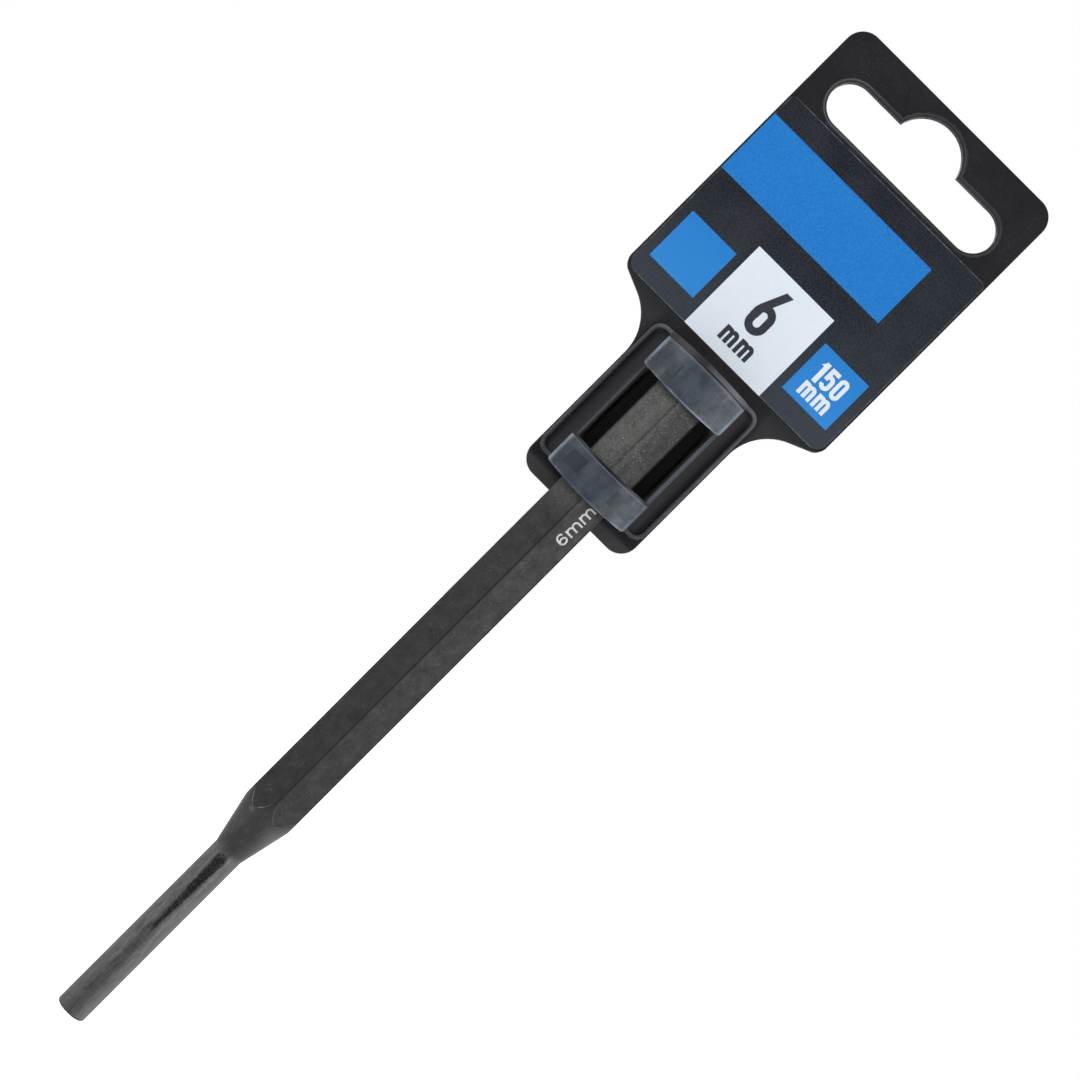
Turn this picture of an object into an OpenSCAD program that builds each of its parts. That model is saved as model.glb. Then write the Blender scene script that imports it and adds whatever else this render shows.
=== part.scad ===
// Pin punch in its moulded hanger.
// Millimetres. +Z points up to the hang slot, the front faces -Y, the hanger's flat back lies at Y = 0,
// and the origin is the centre of the round peg seat of the hang slot, on the back face.

/* [Punch] */
// Whole length of the punch, from the struck end to the working tip
punch_length = 150; // [120:1:180]
// Width of the hexagonal shank across its flats
shank_flats = 10; // [8:0.1:11.5]
// Metal turned off each corner of the hexagon, along the radius
corner_trim = 0.15; // [0.05:0.01:0.3]
// Diameter of the working pin
pin_diameter = 5.8; // [3:0.1:7]
// Length of the working pin
pin_length = 38.4; // [20:0.1:50]
// Length of the tapered neck between pin and shank
neck_length = 12.1; // [8:0.1:18]
// Chamfer on the edge of the working tip
tip_chamfer = 0.25; // [0.1:0.05:0.5]
// Height of the chamfer at the struck end
head_chamfer = 1.4; // [0.8:0.1:2.5]
// Diameter of the flat face at the struck end
head_face = 8.6; // [6:0.1:9.2]

/* [Hang slot] */
// Radius of the round peg seat in the middle of the slot
seat_radius = 6.9; // [5:0.1:7.5]
// Length of the slot over its round ends
slot_length = 38.6; // [32:0.1:41]
// Height of the slot
slot_height = 8.6; // [6:0.1:10]
// Drop from the centre of the peg seat to the middle line of the slot
seat_offset = 2.8; // [1.5:0.1:3]
// Width of the raised lip around the slot
lip_width = 0.8; // [0.4:0.1:1.2]
// Height of the raised lip above the card
lip_height = 0.35; // [0.15:0.05:0.8]
// Material left above the peg seat
seat_margin = 2.2; // [2:0.1:6]

/* [Card] */
// Width of the hanger card
card_width = 48; // [44:0.5:60]
// Height of the card, down to its lower corners
card_height = 59.5; // [50:0.5:80]
// Thickness of the card and of the tongue below it
card_thickness = 1.8; // [1.2:0.1:3]
// Radius of the upper corners
top_radius = 3.8; // [1:0.1:6]
// Radius of the lower corners
foot_radius = 2.5; // [1:0.1:3]
// Slope of the card's lower edge, from the corners to the tongue
shoulder_angle = 23; // [15:1:30]
// Radius of the hollow between card and tongue
shoulder_radius = 9.9; // [6:0.1:10]

/* [Tongue] */
// Width of the tongue that carries the holder
tongue_width = 25.5; // [23:0.1:28]
// Radius of the tongue's lower corners
tongue_radius = 3.5; // [1:0.1:5]
// Length of the tongue left below the lower strap
tongue_margin = 2.8; // [1.5:0.1:8]
// Distance from the tongue's side to the raised rim
rim_inset = 0.25; // [0.1:0.05:0.8]
// Thickness of the raised rim
rim_wall = 0.85; // [0.5:0.05:1.2]
// Height of the raised rim
rim_height = 1.2; // [0.5:0.1:3]
// Outer radius of the rim's corners
rim_radius = 2.3; // [1.5:0.1:3.5]

/* [Holder] */
// Drop from the card's lower corners to the top of the holder
holder_drop = 2.8; // [1.5:0.1:8]
// Width of the holder over its two side walls
channel_width = 17.7; // [16.5:0.1:20]
// Thickness of the side walls
channel_wall = 0.7; // [0.5:0.05:1.2]
// Thickness of the end wall above the punch
stop_wall = 0.9; // [0.6:0.1:2]
// Length of each strap along the punch
strap_length = 7.2; // [5:0.1:10]
// Amount by which a strap's lower edge bows down in the middle
strap_bow = 1.2; // [0.3:0.1:2]
// Thickness of a strap at its crown
strap_thickness = 1.4; // [0.8:0.1:2.5]
// Rise of a strap's crown above the side walls
strap_rise = 3.6; // [2.5:0.1:5]
// Width by which a strap stands out past the side walls
strap_overhang = 0.2; // [0:0.05:0.5]
// Length of the open window between the two straps
window_length = 15.9; // [8:0.1:30]
// Gap between the shank and the holder all round
punch_gap = 0.15; // [0.05:0.01:0.3]
// Gap between the struck end and the end wall
head_gap = 4.5; // [0.2:0.1:6]
// Thickness of the guide ribs beside the shank
guide_wall = 1.2; // [0.8:0.1:1.5]
// Length of the guide ribs along the punch
guide_length = 4.2; // [2:0.1:4.4]
// Depth of the guide ribs below the middle of the shank
guide_reach = 1.5; // [0.5:0.1:2.5]
// Distance by which the hole behind a strap stays inside the strap's edges
core_margin = 0.8; // [0.2:0.05:1.2]

/* [Label] */
// Thickness of the printed label
label_thickness = 0.12; // [0.05:0.01:0.3]
// Distance from the card's side to the label
label_inset = 0.35; // [0.1:0.05:2]
// Distance from the slot's lip to the label
label_gap = 0.35; // [0.1:0.05:3]
// Distance from the card's lower corners to the label
label_foot_gap = 0.6; // [0.3:0.05:4]
// Radius of the label's lower corners
label_radius = 2.2; // [1:0.1:3]

/* [Hidden] */
$fn = 96;
overrun = 1;
hexagon_sides = 6;
steel_black = "#2b2b2c";
plastic_black = "#1f2023";
strap_grey = "#39404a";
label_black = "#24262b";

// Shank
pin_radius = pin_diameter / 2;
hexagon_radius = shank_flats / 2 / cos(180 / hexagon_sides);
shank_radius = hexagon_radius - corner_trim;

// Depths, counted forward from the flat back
card_front = -card_thickness;
shank_y = card_front - punch_gap - shank_radius;
strap_inside = card_front - 2 * (punch_gap + shank_radius);
strap_outside = strap_inside - strap_thickness;
wall_top = strap_outside + strap_rise;

// Card and hang slot, heights from the peg seat's centre
card_half = card_width / 2;
card_top = seat_radius + seat_margin;
card_foot = card_top - card_height;
slot_z = -seat_offset;
slot_foot = slot_z - slot_height / 2;
slot_round = slot_height / 2;
slot_reach = slot_length / 2 - slot_round;

// Holder, heights from the top down
holder_top = card_foot - holder_drop;
upper_strap_top = holder_top - stop_wall;
upper_strap_foot = upper_strap_top - strap_length;
lower_strap_top = upper_strap_foot - window_length;
lower_strap_foot = lower_strap_top - strap_length;
holder_foot = lower_strap_foot + strap_bow;
tongue_foot = lower_strap_foot - tongue_margin;
tongue_half = tongue_width / 2;
channel_half = channel_width / 2;
channel_inside = channel_half - channel_wall;
rim_half = tongue_half - rim_inset;
rim_top = holder_top + rim_wall;

// Arch of a strap
strap_half = channel_half + strap_overhang;
arch_radius = (strap_half ^ 2 + strap_rise ^ 2) / (2 * strap_rise);
arch_y = strap_outside + arch_radius;
arch_inside = arch_radius - strap_thickness;
bow_radius = (strap_half ^ 2 + strap_bow ^ 2) / (2 * strap_bow);

// Punch, struck end up
head_z = upper_strap_top - head_gap;
tip_z = head_z - punch_length;

// Label
label_half = card_half - label_inset;
label_top = slot_foot - lip_width - label_gap;
label_foot = card_foot + label_foot_gap;

// Shoulder between card and tongue: a straight edge tangent to the lower corner and to the hollow
corner_x = card_half - foot_radius;
corner_z = card_foot + foot_radius;
hollow_x = tongue_half + shoulder_radius;
hollow_z = corner_z
    - (foot_radius + shoulder_radius + (corner_x - hollow_x) * sin(shoulder_angle)) / cos(shoulder_angle);
shoulder_start = [
    corner_x + foot_radius * sin(shoulder_angle),
    corner_z - foot_radius * cos(shoulder_angle)
];
shoulder_end = [
    hollow_x - shoulder_radius * sin(shoulder_angle),
    hollow_z + shoulder_radius * cos(shoulder_angle)
];

// Stands an outline drawn in X and Z up at a given depth and grows it forward
module stand(depth, thickness) {
    translate([0, depth, 0])
        rotate([90, 0, 0])
            linear_extrude(thickness)
                children();
}

// Box between two corners
module block(low, high) {
    translate(low)
        cube(high - low);
}

// Rectangle between two corners
module panel(low, high) {
    translate(low)
        square(high - low);
}

// Rectangle with all corners round
module round_panel(low, high, radius) {
    panel([low.x + radius, low.y], [high.x - radius, high.y]);
    panel([low.x, low.y + radius], [high.x, high.y - radius]);
    for (x = [low.x + radius, high.x - radius])
        for (z = [low.y + radius, high.y - radius])
            translate([x, z])
                circle(radius);
}

// Hang slot with its round peg seat, grown outward by a given width
module slot_outline(grow) {
    panel([-slot_reach, slot_foot - grow], [slot_reach, slot_foot + slot_height + grow]);
    for (side = [-1, 1])
        translate([side * slot_reach, slot_z])
            circle(slot_round + grow);
    intersection() {
        circle(seat_radius + grow);
        panel([-card_half, slot_z], [card_half, card_top]);
    }
}

// Sloping lower edge of the card, with the hollow down to the tongue's side
module shoulder_outline() {
    difference() {
        polygon([
            [-tongue_half, hollow_z], [-shoulder_end.x, shoulder_end.y],
            [-shoulder_start.x, shoulder_start.y], [-corner_x, corner_z],
            [corner_x, corner_z], shoulder_start, shoulder_end, [tongue_half, hollow_z]
        ]);
        for (side = [-1, 1])
            translate([side * hollow_x, hollow_z])
                circle(shoulder_radius);
    }
}

// Card and tongue in one outline
module card_outline() {
    panel([-card_half, corner_z], [card_half, card_top - top_radius]);
    panel([-card_half + top_radius, card_foot + foot_radius], [card_half - top_radius, card_top]);
    for (side = [-1, 1]) {
        translate([side * (card_half - top_radius), card_top - top_radius])
            circle(top_radius);
        translate([side * corner_x, corner_z])
            circle(foot_radius);
    }
    shoulder_outline();
    panel([-tongue_half, tongue_foot + tongue_radius], [tongue_half, corner_z]);
    panel([-tongue_half + tongue_radius, tongue_foot], [tongue_half - tongue_radius, corner_z]);
    for (side = [-1, 1])
        translate([side * (tongue_half - tongue_radius), tongue_foot + tongue_radius])
            circle(tongue_radius);
}

// Holes behind the straps, where the mould's cores pass
module core_holes() {
    for (top = [upper_strap_top, lower_strap_top])
        panel(
            [-channel_inside, top - strap_length + strap_bow + core_margin],
            [channel_inside, top - core_margin]
        );
}

// Raised rim on the tongue, open where the holder's walls stand
module rim_outline() {
    difference() {
        round_panel([-rim_half, holder_foot], [rim_half, rim_top], rim_radius);
        round_panel(
            [-rim_half + rim_wall, holder_foot + rim_wall],
            [rim_half - rim_wall, holder_top],
            rim_radius - rim_wall
        );
        panel([-channel_half, holder_foot - overrun], [channel_half, holder_top]);
    }
}

// Flat moulded card with the hang slot, the slot's lip, the tongue and its rim
module hanger_card() {
    color(plastic_black) {
        stand(0, card_thickness)
            difference() {
                card_outline();
                slot_outline(0);
                core_holes();
            }
        stand(card_front, lip_height)
            difference() {
                slot_outline(lip_width);
                slot_outline(0);
            }
        stand(card_front, rim_height)
            rim_outline();
    }
}

// Arched body over the holder's walls, between two heights
module arch(low, high) {
    translate([0, 0, low])
        linear_extrude(high - low)
            intersection() {
                translate([0, arch_y])
                    circle(arch_radius);
                panel([-strap_half, strap_outside - overrun], [strap_half, wall_top]);
            }
}

// Side walls and closed upper end of the holder
module holder_channel() {
    color(plastic_black) {
        for (side = [-1, 1])
            scale([side, 1, 1])
                block([channel_inside, wall_top, holder_foot], [channel_half, card_front, holder_top]);
        block([-channel_half, wall_top, upper_strap_top], [channel_half, card_front, holder_top]);
        arch(upper_strap_top, holder_top);
    }
}

// Guide ribs that hang from a strap on both sides of the shank
module guide_ribs(middle) {
    inside = shank_flats / 2 + punch_gap;
    intersection() {
        for (side = [-1, 1])
            scale([side, 1, 1])
                block(
                    [inside, strap_outside, middle - guide_length / 2],
                    [inside + guide_wall, shank_y + guide_reach, middle + guide_length / 2]
                );
        translate([0, arch_y, middle - guide_length])
            cylinder(h = 2 * guide_length, r = (arch_radius + arch_inside) / 2);
    }
}

// One arched strap, with a bowed lower edge
module strap(top) {
    foot = top - strap_length;
    color(strap_grey) {
        intersection() {
            difference() {
                arch(foot, top);
                translate([0, arch_y, foot - overrun])
                    cylinder(h = strap_length + 2 * overrun, r = arch_inside);
            }
            translate([0, 0, foot + bow_radius])
                rotate([90, 0, 0])
                    cylinder(h = -strap_outside + overrun, r = bow_radius);
        }
        guide_ribs((top + foot + strap_bow) / 2);
    }
}

module upper_strap() {
    strap(upper_strap_top);
}

module lower_strap() {
    strap(lower_strap_top);
}

// Printed label on the card's front
module label() {
    color(label_black)
        stand(card_front, label_thickness) {
            panel([-label_half, label_foot + label_radius], [label_half, label_top]);
            panel([-label_half + label_radius, label_foot], [label_half - label_radius, label_top]);
            for (side = [-1, 1])
                translate([side * (label_half - label_radius), label_foot + label_radius])
                    circle(label_radius);
        }
}

// Hexagonal shank, turned neck and pin, with a chamfered struck end
module punch() {
    neck_start = pin_length;
    neck_end = pin_length + neck_length;
    color(steel_black)
        translate([0, shank_y, tip_z])
            intersection() {
                rotate_extrude()
                    polygon([
                        [0, 0],
                        [pin_radius - tip_chamfer, 0],
                        [pin_radius, tip_chamfer],
                        [pin_radius, neck_start],
                        [shank_radius, neck_end],
                        [shank_radius, punch_length - head_chamfer],
                        [head_face / 2, punch_length],
                        [0, punch_length]
                    ]);
                translate([0, 0, -overrun])
                    rotate([0, 0, 90])
                        cylinder(h = punch_length + 2 * overrun, r = hexagon_radius, $fn = hexagon_sides);
            }
}

punch();
hanger_card();
holder_channel();
upper_strap();
lower_strap();
label();
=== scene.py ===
# Pin punch in its moulded hanger card: shapes, finishes, printed label, light and camera.
import math

import bmesh
import bpy
from mathutils import Matrix, Vector


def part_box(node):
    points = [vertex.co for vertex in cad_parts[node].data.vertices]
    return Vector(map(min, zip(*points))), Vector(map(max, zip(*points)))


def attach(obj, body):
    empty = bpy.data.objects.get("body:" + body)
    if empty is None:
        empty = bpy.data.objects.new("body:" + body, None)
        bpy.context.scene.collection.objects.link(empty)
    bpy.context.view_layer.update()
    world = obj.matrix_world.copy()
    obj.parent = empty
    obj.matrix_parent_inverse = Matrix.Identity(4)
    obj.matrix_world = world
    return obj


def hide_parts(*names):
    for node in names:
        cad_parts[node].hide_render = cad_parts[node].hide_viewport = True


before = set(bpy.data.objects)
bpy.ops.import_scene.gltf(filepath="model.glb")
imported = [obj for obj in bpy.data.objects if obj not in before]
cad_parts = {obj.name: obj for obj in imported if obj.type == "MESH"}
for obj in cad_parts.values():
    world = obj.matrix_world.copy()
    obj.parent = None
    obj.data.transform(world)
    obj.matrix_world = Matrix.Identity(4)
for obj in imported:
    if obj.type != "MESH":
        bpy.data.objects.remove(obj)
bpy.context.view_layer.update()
mm = 0.001
punchLow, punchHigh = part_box("punch")
cardLow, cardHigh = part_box("hanger_card")
channelLow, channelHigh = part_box("holder_channel")
labelLow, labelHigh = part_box("label")
axisX, axisY = (punchLow.x + punchHigh.x) / 2, (punchLow.y + punchHigh.y) / 2
print("frame loaded:", sorted(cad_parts))


# Helpers for meshes. Lengths inside them are millimetres, angles degrees.

meshing = {
    "mergeDistance": 0.0001, "normalWeight": 90, "softAngle": 35,
    "beadAngle": 60, "beadSegments": 5,  # edges sharper than the angle take the bead
    "cornerShare": 0.4,  # most of a side that a rounded corner may take
    "overlap": 0.01,  # how deep print starts inside what it lies on
    "strokeLift": 0.0015,  # crossing strokes don't share a face
}


def toMm(metres):
    return metres / mm


def arcPoints(centre, radius, start, end, steps=10):
    points = []
    for step in range(steps + 1):
        angle = math.radians(start + (end - start) * step / steps)
        points.append((centre[0] + radius * math.cos(angle), centre[1] + radius * math.sin(angle)))
    return points


def mirrored(points):
    return points + [(-x, z) for x, z in reversed(points)]


def standing(u, v, depth):  # outline in X and Z, grown forward from the back plane
    return (u * mm, -depth * mm, v * mm)


def lying(u, v, depth):  # outline in X and Y, grown up
    return (u * mm, v * mm, depth * mm)


def onlyKind(result, kind):
    return [part for part in result["geom"] if isinstance(part, kind)]


def addPlate(shape, loops, place, near, far, bead=0.0):  # loops after the first are holes
    rings = [[shape.verts.new(place(u, v, near)) for u, v in loop] for loop in loops]
    if len(rings) == 1:
        faces = [shape.faces.new(rings[0])]
    else:
        edges = [shape.edges.new((ring[i - 1], ring[i])) for ring in rings for i in range(len(ring))]
        filled = bmesh.ops.triangle_fill(shape, use_beauty=True, use_dissolve=False, edges=edges)
        faces = onlyKind(filled, bmesh.types.BMFace)
    grown = bmesh.ops.extrude_face_region(shape, geom=faces, use_keep_orig=True)
    shift = Vector(place(0, 0, far)) - Vector(place(0, 0, near))
    bmesh.ops.translate(shape, verts=onlyKind(grown, bmesh.types.BMVert), vec=shift)
    if bead:
        shape.normal_update()
        border = [edge for edge in onlyKind(grown, bmesh.types.BMEdge)
                  if edge.calc_face_angle(0.0) > math.radians(meshing["beadAngle"])]
        bmesh.ops.bevel(shape, geom=border, offset=bead * mm, offset_type="OFFSET", profile=0.5,
                        segments=meshing["beadSegments"], affect="EDGES", clamp_overlap=True)


def addBlock(shape, low, high):
    corners = [(low[0], low[1]), (high[0], low[1]), (high[0], high[1]), (low[0], high[1])]
    addPlate(shape, [corners], lying, low[2], high[2])


def addObject(name, data):
    made = bpy.data.objects.new(name, data)
    bpy.context.scene.collection.objects.link(made)
    return made


def finishPiece(name, shape, material, body, replaced=(), smooth=True, soft=0.0, segments=3,
                angle=meshing["softAngle"]):
    bmesh.ops.remove_doubles(shape, verts=shape.verts, dist=meshing["mergeDistance"] * mm)
    bmesh.ops.recalc_face_normals(shape, faces=shape.faces)
    mesh = bpy.data.meshes.new(name)
    shape.to_mesh(mesh)
    shape.free()
    mesh.polygons.foreach_set("use_smooth", [smooth] * len(mesh.polygons))
    mesh.materials.append(material)
    piece = addObject(name, mesh)
    if soft:
        bevel = piece.modifiers.new("soft edges", "BEVEL")
        bevel.width = soft * mm
        bevel.segments = segments
        bevel.limit_method = "ANGLE"
        bevel.angle_limit = math.radians(angle)
    if smooth:
        normals = piece.modifiers.new("flat shading", "WEIGHTED_NORMAL")
        normals.keep_sharp = False
        normals.weight = meshing["normalWeight"]
    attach(piece, body)
    if replaced:
        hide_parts(*replaced)


# Helpers for shader nodes. They take and give node outputs, or plain numbers and colours.

def feed(socket, value):
    if isinstance(value, bpy.types.NodeSocket):
        socket.id_data.links.new(value, socket)
    elif socket.type == "RGBA":
        socket.default_value = (*value, 1.0)
    else:
        socket.default_value = value


def addNode(tree, kind, settings=None, inputs=None):
    made = tree.nodes.new(kind)
    for key, value in (settings or {}).items():
        setattr(made, key, value)
    for key, value in (inputs or {}).items():
        feed(made.inputs[key], value)
    return made


def vectorCalc(operation, inputs):
    return addNode(inputs[0].id_data, "ShaderNodeVectorMath", {"operation": operation}, inputs).outputs


def startMaterial(name, roughness=0.5, metallic=0.0, specular=0.5, centre=(0.0, 0.0, 0.0)):
    material = bpy.data.materials.new(name)
    material.use_nodes = True
    tree = material.node_tree
    shader = tree.nodes["Principled BSDF"]
    for key, value in (("Roughness", roughness), ("Metallic", metallic), ("Specular IOR Level", specular)):
        shader.inputs[key].default_value = value
    moved = vectorCalc("SUBTRACT", {0: addNode(tree, "ShaderNodeTexCoord").outputs["Object"], 1: centre})[0]
    return material, shader, vectorCalc("SCALE", {0: moved, "Scale": 1 / mm})[0]


def axes(place):
    return addNode(place.id_data, "ShaderNodeSeparateXYZ", inputs={0: place}).outputs[0:3]


def stretch(place, factors):
    return vectorCalc("MULTIPLY", {0: place, 1: factors})[0]


def calc(operation, *values):
    tree = next(value.id_data for value in values if isinstance(value, bpy.types.NodeSocket))
    return addNode(tree, "ShaderNodeMath", {"operation": operation}, dict(enumerate(values))).outputs[0]


def plus(first, second):
    return calc("ADD", first, second)


def minus(first, second):
    return calc("SUBTRACT", first, second)


def larger(first, second):
    return calc("MAXIMUM", first, second)


def times(*factors):
    result = factors[0]
    for factor in factors[1:]:
        result = calc("MULTIPLY", result, factor)
    return result


def unsigned(value):
    return calc("ABSOLUTE", value)


def diagonal(first, second):
    return calc("SQRT", plus(times(first, first), times(second, second)))


def ramp(value, low, high, start=0.0, end=1.0, kind="SMOOTHSTEP"):
    numbers = {"Value": value, "From Min": low, "From Max": high, "To Min": start, "To Max": end}
    return addNode(value.id_data, "ShaderNodeMapRange", {"interpolation_type": kind}, numbers).outputs[0]


def straight(*numbers):
    return ramp(*numbers, kind="LINEAR")


def between(share, start, end):  # start where the share is 0, end where it is 1
    return straight(share, 0.0, 1.0, start, end)


def band(value, low, high, soft):  # 1 between low and high, 0 outside
    return times(ramp(value, low - soft, low + soft), ramp(value, high - soft, high + soft, 1.0, 0.0))


def blend(factor, first, second):  # colours
    return addNode(factor.id_data, "ShaderNodeMix", {"data_type": "RGBA"},
                   {0: factor, 6: first, 7: second}).outputs[2]


def mixed(factor, first, second):  # numbers
    return addNode(factor.id_data, "ShaderNodeMix", inputs={0: factor, 2: first, 3: second}).outputs[0]


def noise(place, scale, detail=3.0, rough=0.55):
    return addNode(place.id_data, "ShaderNodeTexNoise", inputs={
        "Vector": place, "Scale": scale, "Detail": detail, "Roughness": rough}).outputs["Fac"]


def specks(place, scale, radius, share):  # dots of uneven brightness in a share of the cells
    cells = addNode(place.id_data, "ShaderNodeTexVoronoi", inputs={"Vector": place, "Scale": scale})
    dot = ramp(cells.outputs["Distance"], radius, radius * 0.4)
    pick = addNode(place.id_data, "ShaderNodeSeparateColor", inputs={0: cells.outputs["Color"]}).outputs
    return times(dot, calc("LESS_THAN", pick[0], share), ramp(pick[1], 0.1, 0.9, 0.15, 1.0))


def edgeWearAndHighlight(shader, radius):  # 1 on rounded edges, 0 on open faces
    tree = shader.id_data
    rounded = addNode(tree, "ShaderNodeBevel", {"samples": 4}, {"Radius": radius * mm}).outputs[0]
    plain = addNode(tree, "ShaderNodeNewGeometry").outputs["Normal"]
    return ramp(vectorCalc("DOT_PRODUCT", {0: rounded, 1: plain})["Value"], 0.995, 0.90)


def paint(shader, color, roughness=None):
    feed(shader.inputs["Base Color"], color)
    if roughness is not None:
        feed(shader.inputs["Roughness"], roughness)


def bump(shader, height, strength, distance):
    made = addNode(shader.id_data, "ShaderNodeBump", inputs={
        "Height": height, "Strength": strength, "Distance": distance * mm})
    feed(shader.inputs["Normal"], made.outputs["Normal"])


# Punch: hexagonal shank, turned neck and pin, chamfered struck end

punch = {
    "flatsHalf": 5.0, "shankRadius": 5.6235, "pinRadius": 2.9, "pinLength": 38.4, "neckLength": 12.1,
    "tipChamfer": 0.25, "headChamfer": 1.4, "headRadius": 4.3, "length": 150.0, "sides": 6,
    "soft": 0.09, "softTurn": 0.7,  # rounding along the length in mm, round the axis in degrees
    "softDrop": 0.012, "turns": (0, 6, 12, 18, 23),  # of a corner's middle; columns over half a flat
}
neckEnd = punch["pinLength"] + punch["neckLength"]


def softCorner(before, corner, after, soft):
    def toward(end):
        span = math.hypot(end[0] - corner[0], end[1] - corner[1])
        share = min(soft, span * meshing["cornerShare"]) / span
        return (corner[0] + (end[0] - corner[0]) * share, corner[1] + (end[1] - corner[1]) * share)
    first, last = toward(before), toward(after)
    middle = tuple((a + 2 * c + b) / 4 for a, b, c in zip(first, last, corner))
    return [first, middle, last]


def punchProfile(radius):  # radius of the hexagon in this direction
    p = punch
    grow = (radius - p["pinRadius"]) / (p["shankRadius"] - p["pinRadius"])
    shrink = (radius - p["headRadius"]) / (p["shankRadius"] - p["headRadius"])
    corners = [
        (0.0, 0.0),
        (p["pinRadius"] - p["tipChamfer"], 0.0),
        (p["pinRadius"], p["tipChamfer"]),
        (p["pinRadius"], p["pinLength"]),
        (radius, p["pinLength"] + (neckEnd - p["pinLength"]) * grow),
        (radius, p["length"] - p["headChamfer"] * shrink),
        (p["headRadius"], p["length"]),
        (0.0, p["length"]),
    ]
    points = []
    for before, corner, after in zip(corners, corners[1:], corners[2:]):
        points += softCorner(before, corner, after, p["soft"])
    return points


def buildPunch(material):
    p = punch
    shape = bmesh.new()
    flatAngle = 360 / p["sides"]
    corner = math.degrees(math.acos(p["flatsHalf"] / p["shankRadius"]))
    turns = [*p["turns"], corner - p["softTurn"], corner, corner + p["softTurn"], flatAngle / 2]
    turns = [-turn for turn in turns[:0:-1]] + turns[:-1]
    columns = []
    for side in range(p["sides"]):
        for turn in turns:
            angle = math.radians(side * flatAngle + turn)
            radius = min(p["flatsHalf"] / math.cos(math.radians(turn)), p["shankRadius"])
            if abs(turn) == corner:
                radius -= p["softDrop"]
            outX, outY = mm * math.cos(angle), mm * math.sin(angle)
            columns.append([shape.verts.new((axisX + r * outX, axisY + r * outY, punchLow.z + z * mm))
                            for r, z in punchProfile(radius)])
    for index, column in enumerate(columns):
        previous = columns[index - 1]
        for row in range(len(column) - 1):
            shape.faces.new((previous[row], column[row], column[row + 1], previous[row + 1]))
    shape.faces.new([column[0] for column in reversed(columns)])
    shape.faces.new([column[-1] for column in columns])
    finishPiece("punch_steel", shape, material, "punch", ("punch",))


steel = {
    "flat": 0.016, "flatPale": 0.043, "speck": 0.20, "worn": 0.36, "ridge": 0.013, "ridgeWorn": 0.075,
    # pinBright is a painted highlight on the pin; turnedPale also paints the neck's lit side; streak is the
    # dark tone of painted reflection and darker patches on the pin
    "turned": 0.085, "turnedPale": 0.23, "pinBright": 0.32, "streak": 0.005, "headPale": 0.10,
    "neck": 0.050, "neckPale": 0.130, "neckDark": 0.036,
    # Places in mm: along from the tip, or across from the middle
    "ridgeHalf": 0.10, "rubbedFrom": 118.0, "rubbedTo": 128.0, "sideFade": 1.5,
    "streakFoot": 20.4, "streakHalf": (0.42, 1.12), "nearTipDarkFrom": 14.0, "nearTipDarkTo": 7.0,
    "paleMarkAcross": (-2.7, -1.9), "paleMarkBelowArc": (3.5, 3.0),
}


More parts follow.
